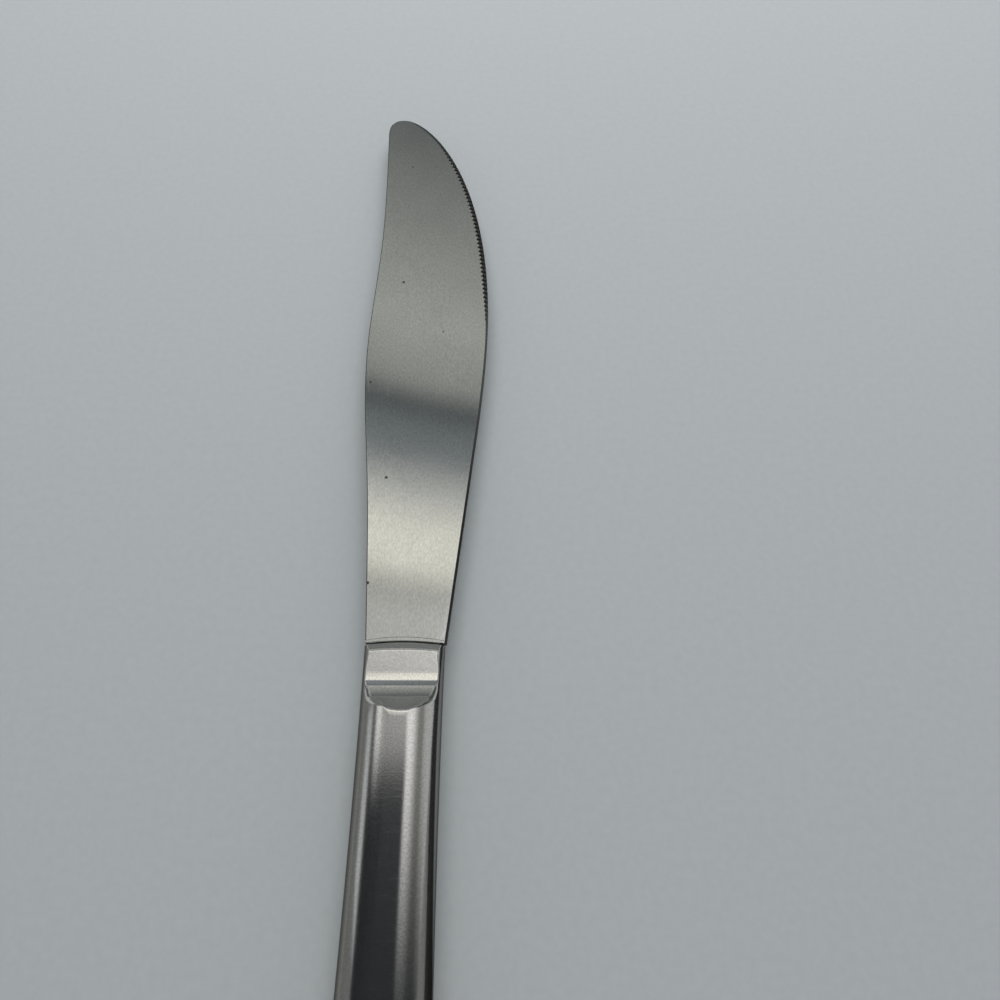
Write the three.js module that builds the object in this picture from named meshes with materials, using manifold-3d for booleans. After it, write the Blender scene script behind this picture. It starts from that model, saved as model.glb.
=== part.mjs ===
// Hollow-handle dinner knife, in millimetres, +Z up.
// +Y runs along the knife to the tip, +X to the cutting edge. Pieces are built about the knife's own
// centre: y = 0 at the handle's mouth, z = 0 on the seam between the two half-shells. The knife group
// then lifts the knife onto the table (z = 0) and puts the resting point of its back panel at the origin.
import * as THREE from 'three';
import { mergeVertices } from 'three/addons/utils/BufferGeometryUtils.js';
import Module from 'manifold-3d';

const wasm = await Module();
wasm.setup();

// Blade outline: reach is measured across from the knife's axis, place along it from the mouth.
const BLADE_LENGTH = 106.5;
const FOOT_BACK_REACH = 5.4;
const FOOT_EDGE_REACH = 5.77;
const BELLY_REACH = 10.8;
const BELLY_PLACE = 56;
const EDGE_STRAIGHT = 36;
const EDGE_FLARE = 0.1063;
const BACK_BULGE_REACH = 9.27;
const BACK_BULGE_PLACE = 51;
const BACK_WAIST_REACH = 8.5;
const BACK_WAIST_PLACE = 76.5;
const BACK_STRAIGHT = 15;
const BACK_FLARE = 0.068;
const TIP_REACH = 6.4;
const TIP_CORNER_REACH = 9.28;
const TIP_CORNER_DROP = 4;

// Handles of the blade's outline curves: how far each point pulls its curve straight on.
const EDGE_PULL = 4;
const BELLY_FOOT_PULL = 6.5;
const BELLY_TIP_PULL = 34.8;
const TIP_EDGE_PULL = 4.9;
const TIP_BACK_PULL = 1.76;
const CORNER_TIP_PULL = 2.92;
const CORNER_FOOT_PULL = 1.9;
const WAIST_TIP_PULL = 11;
const WAIST_FOOT_PULL = 8.75;
const BULGE_TIP_PULL = 6.5;
const BULGE_FOOT_PULL = 13.1;
const BACK_PULL = 16.7;

// Blade thickness: the flat faces lean towards the tip and towards the cutting edge.
const FACE_THICKNESS = 1.7;
const FACE_LEAN_TO_TIP = 0.0028;
const FACE_LEAN_TO_EDGE = 0.0125;
const EDGE_LAND = 0.3;
const EDGE_BEVEL = 0.8;
const BACK_EASE = 0.12;

// Teeth ground into the upper bevel, from the belly towards the tip.
const TOOTH_PITCH = 0.97;
const TOOTH_RADIUS = 0.34;
const TEETH_LENGTH = 45.5;

// Unground strip at the foot of the blade and the joint to the handle's arched mouth.
const STRIP_THICKNESS = 1.9;
const STRIP_LENGTH = 0.65;
const STRIP_ARCH = 0.25;
const MOUTH_ARCH = 0.3;
const JOINT_GAP = 0.2;

// Tang inside the handle, with notches that key it into the cement.
const TANG_LENGTH = 42;
const TANG_THICKNESS = 1.4;
const TANG_WIDTH = 6.6;
const TANG_END_WIDTH = 4.4;
const TANG_ROOT = 4;
const NOTCH_COUNT = 3;
const NOTCH_PITCH = 10;
const NOTCH_LENGTH = 3;
const NOTCH_DEPTH = 0.8;

// Handle outline seen from above.
const HANDLE_LENGTH = 115;
const NECK_WIDTH = 11;
const NECK_PLACE = 15;
const BUTT_WIDTH = 16;
const BUTT_ROUND = 10;

// Handle section: flank, ledge, rounded shoulder and flat panel, measured from the seam.
const PANEL_HEIGHT = 3.5;
const FLANK_RADIUS = 5.2;
const FLANK_FOOT_ANGLE = THREE.MathUtils.degToRad(77);
const FLANK_TOP_ANGLE = THREE.MathUtils.degToRad(46);
const LEDGE_WIDTH = 0.8;
const LEDGE_ANGLE = THREE.MathUtils.degToRad(22);
const SHOULDER_ANGLE = THREE.MathUtils.degToRad(34);
const SHOULDER_LENGTH = 1.1;
const WALL = 0.85;

// Relief at the mouth: rounded rim, flat land and the scoop that climbs to the panel.
const RIM_HEIGHT = 1.15;
const RIM_LENGTH = 0.95;
const LAND_HEIGHT = 1.65;
const LAND_LENGTH = 3.02;
const SCOOP_RADIUS = 9.4;

// What joins the pieces.
const SEAM_GAP = 0.16;
const BRAZE_SET_BACK = 0.08;
const CEMENT_RECESS = 0.6;
const CEMENT_LENGTH = 104;
const CLEARANCE = 0.03;

// How far the handle's body and its cutting shapes run past the mouth before they are cut.
const RUN_PAST = 3;

// Resting point of the back panel, behind the mouth.
const REST_PLACE = 60;

const steel = (name, color, roughness) =>
  new THREE.MeshStandardMaterial({ name, color, roughness, metalness: 1 });

// Closed geometry to a solid for cutting, and back.
function solidOf(geometry) {
  const bare = geometry.clone();
  bare.deleteAttribute('normal');
  bare.deleteAttribute('uv');
  const welded = mergeVertices(bare, 1e-5);
  const vertProperties = new Float32Array(welded.attributes.position.array);
  const triVerts = new Uint32Array(welded.index.array);
  return new wasm.Manifold(new wasm.Mesh({ numProp: 3, vertProperties, triVerts }));
}

function geometryOf(solid) {
  const mesh = solid.getMesh();
  const geometry = new THREE.BufferGeometry();
  geometry.setAttribute('position', new THREE.BufferAttribute(new Float32Array(mesh.vertProperties), 3));
  geometry.setIndex(new THREE.BufferAttribute(new Uint32Array(mesh.triVerts), 1));
  geometry.computeVertexNormals();
  return geometry;
}

// Closed body from loops of points that share one point count, lowest loop first. Each loop runs
// counter-clockwise seen from above; the first and last loops are capped.
function stackLoops(loops) {
  const count = loops[0].length;
  const index = [];
  for (let level = 0; level + 1 < loops.length; level++) {
    for (let i = 0; i < count; i++) {
      const a = level * count + i;
      const b = level * count + ((i + 1) % count);
      index.push(a, b, b + count, a, b + count, a + count);
    }
  }
  const cap = (loop) => THREE.ShapeUtils.triangulateShape(loop.map((p) => new THREE.Vector2(p.x, p.y)), []);
  const top = (loops.length - 1) * count;
  cap(loops[0]).forEach(([a, b, c]) => index.push(c, b, a));
  cap(loops[loops.length - 1]).forEach(([a, b, c]) => index.push(top + a, top + b, top + c));
  const geometry = new THREE.BufferGeometry().setFromPoints(loops.flat());
  geometry.setIndex(index);
  return geometry;
}

// Line of points moved sideways, to the right of its direction, with mitred corners.
function offsetLine(points, distance) {
  return points.map((point, i) => {
    const before = point.clone().sub(points[Math.max(i - 1, 0)]).normalize();
    const after = points[Math.min(i + 1, points.length - 1)].clone().sub(point).normalize();
    const along = before.clone().add(after).normalize();
    const reference = i === 0 ? after : before;
    const stretch = i === 0 || i === points.length - 1 ? 1 : along.dot(reference);
    const shift = distance / stretch;
    return new THREE.Vector2(point.x + along.y * shift, point.y - along.x * shift);
  });
}

// Half-width of the handle at a distance behind the mouth, before the butt is rounded.
function sideReach(place) {
  const along = (place - NECK_PLACE) / (HANDLE_LENGTH - BUTT_ROUND - NECK_PLACE);
  return NECK_WIDTH / 2 + ((BUTT_WIDTH - NECK_WIDTH) / 2) * along * along;
}

// Handle outline from the mouth's spine side, down that side, round the butt and back up the other side.
function handleOutline(startPlace, inset) {
  const straightEnd = HANDLE_LENGTH - BUTT_ROUND;
  const sideSteps = 12;
  const buttSteps = 20;
  const left = [];
  for (let i = 0; i < sideSteps; i++) {
    const place = startPlace + ((straightEnd - startPlace) * i) / sideSteps;
    left.push(new THREE.Vector2(-sideReach(place), -place));
  }
  const butt = [];
  for (let i = 0; i <= buttSteps; i++) {
    const turn = (Math.PI * i) / buttSteps;
    const place = straightEnd + BUTT_ROUND * Math.sin(turn);
    butt.push(new THREE.Vector2(-sideReach(place) * Math.cos(turn), -place));
  }
  const right = left.map((p) => new THREE.Vector2(-p.x, p.y)).reverse();
  return offsetLine([...left, ...butt, ...right], -inset);
}

// Handle section from the seam to the panel's border: x is the inset from the outline, y the height.
function handleSection() {
  const points = [];
  const flankSteps = 5;
  for (let i = 0; i <= flankSteps; i++) {
    const angle = THREE.MathUtils.lerp(FLANK_FOOT_ANGLE, FLANK_TOP_ANGLE, i / flankSteps);
    points.push(new THREE.Vector2(
      FLANK_RADIUS * (Math.sin(FLANK_FOOT_ANGLE) - Math.sin(angle)),
      FLANK_RADIUS * (Math.cos(angle) - Math.cos(FLANK_FOOT_ANGLE)),
    ));
  }
  points[0].y = SEAM_GAP / 2;
  const ledgeStart = points[flankSteps];
  const foot = new THREE.Vector2(LEDGE_WIDTH, LEDGE_WIDTH * Math.tan(LEDGE_ANGLE)).add(ledgeStart);
  const run = (PANEL_HEIGHT - foot.y) / Math.tan(SHOULDER_ANGLE);
  const shoulder = new THREE.QuadraticBezierCurve(
    foot,
    new THREE.Vector2(foot.x + run, PANEL_HEIGHT),
    new THREE.Vector2(foot.x + run + SHOULDER_LENGTH, PANEL_HEIGHT),
  );
  return [...points, ...shoulder.getPoints(6)];
}

// Upper half of the handle's body, its skin moved inwards by inset; it runs past the mouth, which the
// relief then cuts. The foot loop of an inset body reaches below the seam, so that it cuts through.
function halfBody(inset) {
  const section = inset > 0 ? offsetLine(handleSection(), inset) : handleSection();
  const loops = section.map((s) =>
    handleOutline(-RUN_PAST, s.x).map((p) => new THREE.Vector3(p.x, p.y, s.y)));
  if (inset > 0) {
    loops.unshift(loops[0].map((p) => new THREE.Vector3(p.x, p.y, -inset)));
  }
  return solidOf(stackLoops(loops));
}

// What is cleared away above the land and the scoop, from a skin moved inwards by inset.
// At inset 0 it also cuts the mouth with its rounded rim.
function reliefCutter(inset) {
  const landEnd = RIM_LENGTH + LAND_LENGTH;
  const above = LAND_HEIGHT + SCOOP_RADIUS;
  const climb = Math.PI / 3;
  const shape = new THREE.Shape();
  shape.moveTo(-2 * RUN_PAST, above);
  if (inset > 0) {
    shape.lineTo(-2 * RUN_PAST, LAND_HEIGHT - inset);
  } else {
    shape.lineTo(-2 * RUN_PAST, -above);
    shape.lineTo(0, -above);
    shape.lineTo(0, RIM_HEIGHT);
    shape.absellipse(
      RIM_LENGTH, RIM_HEIGHT, RIM_LENGTH, LAND_HEIGHT - RIM_HEIGHT, Math.PI, Math.PI / 2, true);
  }
  shape.absarc(landEnd, above, SCOOP_RADIUS + inset, -Math.PI / 2, climb - Math.PI / 2, false);
  shape.lineTo(landEnd + (SCOOP_RADIUS + inset) * Math.sin(climb), above);
  const geometry = new THREE.ExtrudeGeometry(shape, {
    depth: 2 * BUTT_WIDTH, steps: 12, bevelEnabled: false, curveSegments: 18,
  });
  geometry.translate(0, 0, -BUTT_WIDTH);
  geometry.applyMatrix4(new THREE.Matrix4().makeBasis(
    new THREE.Vector3(0, -1, 0), new THREE.Vector3(0, 0, 1), new THREE.Vector3(-1, 0, 0)));
  const position = geometry.attributes.position;
  for (let i = 0; i < position.count; i++) {
    position.setY(i, position.getY(i) - archAt(position.getX(i)));
  }
  return solidOf(geometry);
}

// How far the arched mouth falls back at a distance from the axis.
function archAt(x) {
  return MOUTH_ARCH * (x / sideReach(0)) ** 2;
}

// One stamped half of the handle: an open pan with the mouth, land and scoop pressed in.
function halfShell() {
  const outside = halfBody(0).subtract(reliefCutter(0));
  const inside = halfBody(WALL).subtract(reliefCutter(WALL));
  return geometryOf(outside.subtract(inside));
}

// Braze strip between the two rims, open at the mouth.
function seamBraze() {
  const start = RIM_LENGTH;
  const outer = handleOutline(start, BRAZE_SET_BACK);
  const inner = handleOutline(start, WALL - BRAZE_SET_BACK).reverse();
  const depth = SEAM_GAP - 2 * CLEARANCE;
  const shape = new THREE.Shape([...outer, ...inner]);
  const geometry = new THREE.ExtrudeGeometry(shape, { depth, bevelEnabled: false });
  geometry.translate(0, 0, -depth / 2);
  return geometry;
}

// Flat plate with the tang's outline, grown on every side by grow.
function tangPlate(grow) {
  const side = [];
  const reach = (place) =>
    THREE.MathUtils.lerp(TANG_WIDTH, TANG_END_WIDTH, place / TANG_LENGTH) / 2 + grow;
  side.push(new THREE.Vector2(reach(0), TANG_ROOT));
  for (let i = 1; i <= NOTCH_COUNT; i++) {
    const start = i * NOTCH_PITCH - NOTCH_LENGTH / 2 + grow;
    const end = i * NOTCH_PITCH + NOTCH_LENGTH / 2 - grow;
    side.push(new THREE.Vector2(reach(start), -start));
    side.push(new THREE.Vector2(reach(start) - NOTCH_DEPTH, -start));
    side.push(new THREE.Vector2(reach(end) - NOTCH_DEPTH, -end));
    side.push(new THREE.Vector2(reach(end), -end));
  }
  side.push(new THREE.Vector2(reach(TANG_LENGTH), -TANG_LENGTH - grow));
  const mirrored = side.map((p) => new THREE.Vector2(-p.x, p.y)).reverse();
  const depth = TANG_THICKNESS + 2 * grow;
  const shape = new THREE.Shape([...side, ...mirrored]);
  const geometry = new THREE.ExtrudeGeometry(shape, { depth, bevelEnabled: false });
  geometry.translate(0, 0, -depth / 2);
  return solidOf(geometry);
}

// Set cement: fills the shells from just inside the mouth to past the tang, with the tang's slot in it.
function tangCement() {
  const inset = WALL + CLEARANCE;
  const slice = new THREE.BoxGeometry(2 * BUTT_WIDTH, CEMENT_LENGTH, 2 * PANEL_HEIGHT);
  slice.translate(0, -CEMENT_RECESS - CEMENT_LENGTH / 2, PANEL_HEIGHT - SEAM_GAP / 2);
  const half = halfBody(inset).subtract(reliefCutter(inset)).intersect(solidOf(slice));
  const turned = solidOf(geometryOf(half).rotateY(Math.PI));
  return geometryOf(half.add(turned).subtract(tangPlate(CLEARANCE)));
}

const point = (x, y) => new THREE.Vector2(x, y);
const cubic = (a, b, c, d) => new THREE.CubicBezierCurve(a, b, c, d);

// Curved part of the cutting edge from the belly to the tip, where the teeth are.
function sweepCurve() {
  return cubic(
    point(BELLY_REACH, BELLY_PLACE),
    point(BELLY_REACH, BELLY_PLACE + BELLY_TIP_PULL),
    point(-TIP_REACH + TIP_EDGE_PULL, BLADE_LENGTH),
    point(-TIP_REACH, BLADE_LENGTH),
  );
}

// Blade outline as stretches, counter-clockwise from the foot's edge corner. rim is the width of the
// eased or bevelled border, land the thickness left at its outer side; 0 leaves the face's own thickness.
function bladeStretches() {
  const foot = JOINT_GAP - MOUTH_ARCH;
  const edgeEnd = point(FOOT_EDGE_REACH + EDGE_FLARE * EDGE_STRAIGHT, EDGE_STRAIGHT);
  const backEnd = point(-FOOT_BACK_REACH - BACK_FLARE * BACK_STRAIGHT, BACK_STRAIGHT);
  const edgeFoot = point(FOOT_EDGE_REACH + EDGE_FLARE * foot, foot);
  const backFoot = point(-FOOT_BACK_REACH - BACK_FLARE * foot, foot);
  const bulge = point(-BACK_BULGE_REACH, BACK_BULGE_PLACE);
  const waist = point(-BACK_WAIST_REACH, BACK_WAIST_PLACE);
  const corner = point(-TIP_CORNER_REACH, BLADE_LENGTH - TIP_CORNER_DROP);
  const edge = { rim: EDGE_BEVEL, land: EDGE_LAND };
  const back = { rim: BACK_EASE, land: 0 };
  return [
    { curve: new THREE.LineCurve(edgeFoot, edgeEnd), steps: 4, ...edge },
    {
      curve: cubic(edgeEnd, point(edgeEnd.x + EDGE_PULL * EDGE_FLARE, edgeEnd.y + EDGE_PULL),
        point(BELLY_REACH, BELLY_PLACE - BELLY_FOOT_PULL), point(BELLY_REACH, BELLY_PLACE)),
      steps: 6, ...edge,
    },
    { curve: sweepCurve(), steps: 24, ...edge },
    {
      curve: cubic(point(-TIP_REACH, BLADE_LENGTH), point(-TIP_REACH - TIP_BACK_PULL, BLADE_LENGTH),
        point(corner.x, corner.y + CORNER_TIP_PULL), corner),
      steps: 8, ...back,
    },
    {
      curve: cubic(corner, point(corner.x, corner.y - CORNER_FOOT_PULL),
        point(waist.x, waist.y + WAIST_TIP_PULL), waist),
      steps: 8, ...back,
    },
    {
      curve: cubic(waist, point(waist.x, waist.y - WAIST_FOOT_PULL),
        point(bulge.x, bulge.y + BULGE_TIP_PULL), bulge),
      steps: 8, ...back,
    },
    {
      curve: cubic(bulge, point(bulge.x, bulge.y - BULGE_FOOT_PULL),
        point(backEnd.x - BACK_PULL * BACK_FLARE, backEnd.y + BACK_PULL), backEnd),
      steps: 8, ...back,
    },
    { curve: new THREE.LineCurve(backEnd, backFoot), steps: 2, ...back },
    {
      curve: new THREE.QuadraticBezierCurve(backFoot, point(0, JOINT_GAP + MOUTH_ARCH), edgeFoot),
      steps: 8, ...back,
    },
  ];
}

// Height of the blade's upper face above the seam plane.
function faceHeight(p) {
  return FACE_THICKNESS / 2 - FACE_LEAN_TO_TIP * p.y - FACE_LEAN_TO_EDGE * p.x;
}

function bladePlate() {
  const rim = [];
  const face = [];
  for (const stretch of bladeStretches()) {
    for (let i = 0; i < stretch.steps; i++) {
      const at = stretch.curve.getPoint(i / stretch.steps);
      const along = stretch.curve.getTangent(i / stretch.steps);
      const inner = point(at.x - along.y * stretch.rim, at.y + along.x * stretch.rim);
      const land = stretch.land > 0 ? stretch.land / 2 : faceHeight(at) - BACK_EASE;
      rim.push(new THREE.Vector3(at.x, at.y, land));
      face.push(new THREE.Vector3(inner.x, inner.y, faceHeight(inner)));
    }
  }
  const turnedOver = (loop) => loop.map((p) => new THREE.Vector3(p.x, p.y, -p.z));
  return solidOf(stackLoops([turnedOver(face), turnedOver(rim), rim, face]));
}

// Unground strip across the foot, standing a little above the faces, its front line arched.
function footStrip() {
  const foot = JOINT_GAP - MOUTH_ARCH;
  const front = foot + STRIP_LENGTH + MOUTH_ARCH - STRIP_ARCH;
  const shape = new THREE.Shape();
  const backReach = FOOT_BACK_REACH;
  const edgeReach = FOOT_EDGE_REACH - BACK_EASE;
  shape.moveTo(-backReach, foot);
  shape.quadraticCurveTo(0, JOINT_GAP + MOUTH_ARCH, edgeReach, foot);
  shape.lineTo(edgeReach, front - STRIP_ARCH);
  shape.quadraticCurveTo(0, front + STRIP_ARCH, -backReach, front - STRIP_ARCH);
  const geometry = new THREE.ExtrudeGeometry(shape, {
    depth: STRIP_THICKNESS, bevelEnabled: false, curveSegments: 8,
  });
  geometry.translate(0, 0, -STRIP_THICKNESS / 2);
  return solidOf(geometry);
}

// Round grooves across the bevel, one per tooth, each along the bevel's own slope.
function toothGrooves() {
  const curve = sweepCurve();
  const count = Math.floor(TEETH_LENGTH / TOOTH_PITCH);
  const grooves = [];
  for (let i = 0; i < count; i++) {
    const share = ((i + 0.5) * TOOTH_PITCH) / curve.getLength();
    const at = curve.getPointAt(share);
    const along = curve.getTangentAt(share);
    const inner = point(at.x - along.y * EDGE_BEVEL, at.y + along.x * EDGE_BEVEL);
    const low = new THREE.Vector3(at.x, at.y, EDGE_LAND / 2);
    const high = new THREE.Vector3(inner.x, inner.y, faceHeight(inner));
    const slope = high.clone().sub(low).normalize();
    const groove = new THREE.CylinderGeometry(TOOTH_RADIUS, TOOTH_RADIUS, 3 * EDGE_BEVEL, 6);
    groove.applyQuaternion(new THREE.Quaternion().setFromUnitVectors(new THREE.Vector3(0, 1, 0), slope));
    groove.translate(...low.add(high).multiplyScalar(0.5).toArray());
    grooves.push(solidOf(groove));
  }
  return grooves;
}

function blade() {
  const toothed = toothGrooves().reduce((solid, groove) => solid.subtract(groove), bladePlate());
  return geometryOf(toothed.add(footStrip()).add(tangPlate(0)));
}

const knife = new THREE.Group();
knife.position.set(0, REST_PLACE, PANEL_HEIGHT);

function addPiece(name, geometry, material) {
  const mesh = new THREE.Mesh(geometry, material);
  mesh.name = name;
  knife.add(mesh);
  return mesh;
}

const shellGeometry = halfShell();
addPiece('blade', blade(), steel('satin_blade_steel', 0xb4b6b2, 0.3));
addPiece('upper_half_shell', shellGeometry, steel('satin_handle_steel', 0xaaaca8, 0.32));
const lower = addPiece('lower_half_shell', shellGeometry, steel('satin_handle_steel_back', 0xaaaca8, 0.32));
lower.rotation.y = Math.PI;
addPiece('seam_braze', seamBraze(), steel('silver_braze', 0x8d8c84, 0.45));
addPiece('tang_cement', tangCement(),
  new THREE.MeshStandardMaterial({ name: 'set_cement', color: 0x8f8a80, roughness: 0.95, metalness: 0 }));

const object = new THREE.Group();
object.name = 'dinner_knife';
object.add(knife);

export default object;
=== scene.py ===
import math

import bpy
import numpy as np
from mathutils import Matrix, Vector


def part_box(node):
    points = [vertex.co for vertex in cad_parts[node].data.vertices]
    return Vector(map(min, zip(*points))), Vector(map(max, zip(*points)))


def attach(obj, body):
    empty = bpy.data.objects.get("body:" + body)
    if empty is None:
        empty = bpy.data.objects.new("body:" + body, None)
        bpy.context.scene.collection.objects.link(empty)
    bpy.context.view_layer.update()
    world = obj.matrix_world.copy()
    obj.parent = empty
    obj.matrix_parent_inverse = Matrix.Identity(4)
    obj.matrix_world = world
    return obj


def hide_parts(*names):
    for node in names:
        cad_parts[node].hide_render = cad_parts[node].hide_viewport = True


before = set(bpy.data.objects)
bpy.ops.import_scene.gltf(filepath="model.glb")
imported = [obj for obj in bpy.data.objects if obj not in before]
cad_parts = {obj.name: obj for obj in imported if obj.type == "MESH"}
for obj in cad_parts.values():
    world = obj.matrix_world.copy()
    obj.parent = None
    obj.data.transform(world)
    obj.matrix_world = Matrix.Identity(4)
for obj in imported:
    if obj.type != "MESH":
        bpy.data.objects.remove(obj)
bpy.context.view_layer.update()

# Blade
# Forged stainless table-knife blade: flat ground faces, a bellied cutting edge with fine teeth ground into
# its upper bevel, an unground strip at the foot, and a notched tang that is cemented into the handle.

# Lengths are in millimetres: x to the cutting edge, y to the tip from the handle's mouth, z up from the seam.
MM = 0.001
MOUTH_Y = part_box("upper_half_shell")[1].y / MM
SEAM_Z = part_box("upper_half_shell")[1].z / MM / 2

# Outline: how far a point reaches from the axis, and its place ahead of the mouth.
BLADE_LENGTH = 106.5
FOOT_EDGE_REACH, EDGE_FLARE, EDGE_STRAIGHT = 5.77, 0.1063, 36.0
FOOT_BACK_REACH, BACK_FLARE, BACK_STRAIGHT = 5.4, 0.068, 15.0
BELLY_REACH, BELLY_PLACE = 10.8, 56.0
BULGE_REACH, BULGE_PLACE = 9.27, 51.0
WAIST_REACH, WAIST_PLACE = 8.5, 76.5
CORNER_REACH, CORNER_PLACE = 9.28, 102.5
TIP_REACH = 6.4
MOUTH_ARCH, JOINT_GAP = 0.3, 0.38
# How far a point of the outline pulls its curve straight on, towards the foot and towards the tip.
EDGE_PULL, BACK_PULL = 4.0, 16.7
BELLY_FOOT_PULL, BELLY_TIP_PULL = 6.5, 34.8
BULGE_FOOT_PULL, BULGE_TIP_PULL = 13.1, 6.5
WAIST_FOOT_PULL, WAIST_TIP_PULL = 8.75, 11.0
CORNER_FOOT_PULL, CORNER_TIP_PULL = 1.9, 2.92
TIP_EDGE_PULL, TIP_BACK_PULL = 4.9, 1.76
# Faces: half the thickness at the mouth, and how much thinner they get to the tip and to the edge. Along the
# edge they have a border of finer rows, which rolls over a little near the foot.
FACE_HALF, LEAN_TO_TIP, LEAN_TO_EDGE, FACE_BORDER = 0.85, 0.0042, 0.0125, 0.6
FOOT_ROLL, FOOT_ROLL_REACH = 0.035, 14.0
# The bevel is narrow along the plain edge, widens round the teeth's start and runs out round the tip.
EDGE_LAND, BEVEL_PLAIN, BEVEL_TOOTHED = 0.3, 0.32, 0.68
WIDENS_FROM, WIDENS_TO = -6.0, 12.0
RUN_OUT_BEFORE, RUN_OUT_AFTER = 4.0, 3.0
BACK_EASE, TIP_EASE, TIP_EASE_REACH = 0.14, 0.3, 5.0
BEVEL_ROWS, BORDER_ROWS = 10, 8
# Teeth: the first has this share of the full depth; they grow over one length and die away over another.
TOOTH_PITCH, TOOTH_RADIUS, TOOTH_DEPTH, TEETH_LENGTH = 0.97, 0.32, 0.12, 45.5
FIRST_TOOTH, TEETH_GROW, TEETH_DIE = 0.3, 10.0, 6.0


def to_frame(points):
    """Knife millimetres (y from the mouth, z from the seam) to metres in the shared frame."""
    return (np.asarray(points, float) + (0.0, MOUTH_Y, SEAM_Z)) * MM


# The grain's map spans this many metres, with the frame's origin in its middle.
GRAIN_SPAN, GRAIN_MIDDLE = 0.25, 0.5


def add_piece(name, points, faces, sharp_degrees):
    """A mesh piece with smooth faces, sharp where it really is, and its grain laid across X."""
    mesh = bpy.data.meshes.new(name)
    mesh.from_pydata([tuple(p) for p in to_frame(points)], [], faces)
    mesh.validate()
    mesh.polygons.foreach_set("use_smooth", [True] * len(mesh.polygons))
    mesh.set_sharp_from_angle(angle=math.radians(sharp_degrees))
    grain_map = mesh.uv_layers.new(name="grain")
    spots = np.empty(len(mesh.vertices) * 3)
    mesh.vertices.foreach_get("co", spots)
    corners = np.empty(len(mesh.loops), int)
    mesh.loops.foreach_get("vertex_index", corners)
    laid = spots.reshape(-1, 3)[corners][:, [0, 1]] / GRAIN_SPAN + GRAIN_MIDDLE
    grain_map.data.foreach_set("uv", laid.ravel())
    piece = bpy.data.objects.new(name, mesh)
    bpy.context.scene.collection.objects.link(piece)
    return piece


def ease_between(value, start, end):
    """A smooth rise from 0 at the start to 1 at the end."""
    share = np.clip((value - start) / (end - start), 0, 1)
    return share * share * (3 - 2 * share)


def part_way(start, end, share):
    return np.asarray(start) + (np.asarray(end) - start) * share


def on_edge_line(place):
    return np.array([FOOT_EDGE_REACH + EDGE_FLARE * place, place])


def on_back_line(place):
    return np.array([-FOOT_BACK_REACH - BACK_FLARE * place, place])


def bow(start, pull_start, pull_end, end, steps):
    """Points of one outline curve between two places, pulled straight on at both ends, and its headings."""
    t = np.linspace(0, 1, steps, endpoint=False)[:, None]
    a, b, c, d = (np.array(p, float) for p in (start, pull_start, pull_end, end))
    spots = a * (1 - t) ** 3 + 3 * b * t * (1 - t) ** 2 + 3 * c * t * t * (1 - t) + d * t ** 3
    along = 3 * (b - a) * (1 - t) ** 2 + 6 * (c - b) * t * (1 - t) + 3 * (d - c) * t * t
    return spots, along / np.linalg.norm(along, axis=1, keepdims=True)


def ring_faces(rings, count):
    """Quads between closed rings of points that follow one another, outermost ring first."""
    here = np.arange(count)
    after = (here + 1) % count
    quads = []
    for level in range(rings - 1):
        low, high = level * count, (level + 1) * count
        quads += np.stack([low + here, low + after, high + after, high + here], 1).tolist()
    return quads


foot_y = JOINT_GAP - MOUTH_ARCH
edge_foot, edge_end = on_edge_line(foot_y), on_edge_line(EDGE_STRAIGHT)
back_foot, back_end = on_back_line(foot_y), on_back_line(BACK_STRAIGHT)
mid_foot = (0.0, JOINT_GAP + MOUTH_ARCH)
belly, bulge = (BELLY_REACH, BELLY_PLACE), (-BULGE_REACH, BULGE_PLACE)
waist, corner = (-WAIST_REACH, WAIST_PLACE), (-CORNER_REACH, CORNER_PLACE)
tip = (-TIP_REACH, BLADE_LENGTH)
# Up the cutting edge to the tip, down the back and across the foot: kind, steps and the curve's four points.
STRETCHES = (
    ("plain", 40, edge_foot, part_way(edge_foot, edge_end, 1 / 3),
     part_way(edge_foot, edge_end, 2 / 3), edge_end),
    ("plain", 40, edge_end, on_edge_line(EDGE_STRAIGHT + EDGE_PULL),
     (BELLY_REACH, BELLY_PLACE - BELLY_FOOT_PULL), belly),
    ("toothed", 960, belly, (BELLY_REACH, BELLY_PLACE + BELLY_TIP_PULL),
     (TIP_EDGE_PULL - TIP_REACH, BLADE_LENGTH), tip),
    ("back", 40, tip, (-TIP_REACH - TIP_BACK_PULL, BLADE_LENGTH),
     (-CORNER_REACH, CORNER_PLACE + CORNER_TIP_PULL), corner),
    ("back", 40, corner, (-CORNER_REACH, CORNER_PLACE - CORNER_FOOT_PULL),
     (-WAIST_REACH, WAIST_PLACE + WAIST_TIP_PULL), waist),
    ("back", 40, waist, (-WAIST_REACH, WAIST_PLACE - WAIST_FOOT_PULL),
     (-BULGE_REACH, BULGE_PLACE + BULGE_TIP_PULL), bulge),
    ("back", 40, bulge, (-BULGE_REACH, BULGE_PLACE - BULGE_FOOT_PULL),
     on_back_line(BACK_STRAIGHT + BACK_PULL), back_end),
    ("back", 16, back_end, part_way(back_end, back_foot, 1 / 3),
     part_way(back_end, back_foot, 2 / 3), back_foot),
    ("foot", 24, back_foot, part_way(back_foot, mid_foot, 2 / 3),
     part_way(edge_foot, mid_foot, 2 / 3), edge_foot),
)
curves = [bow(*points, steps) for kind, steps, *points in STRETCHES]
outline = np.concatenate([spots for spots, along in curves])
edge_heading = np.concatenate([along for spots, along in curves])
kinds = np.repeat([stretch[0] for stretch in STRETCHES], [stretch[1] for stretch in STRETCHES])
count = len(outline)
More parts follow.
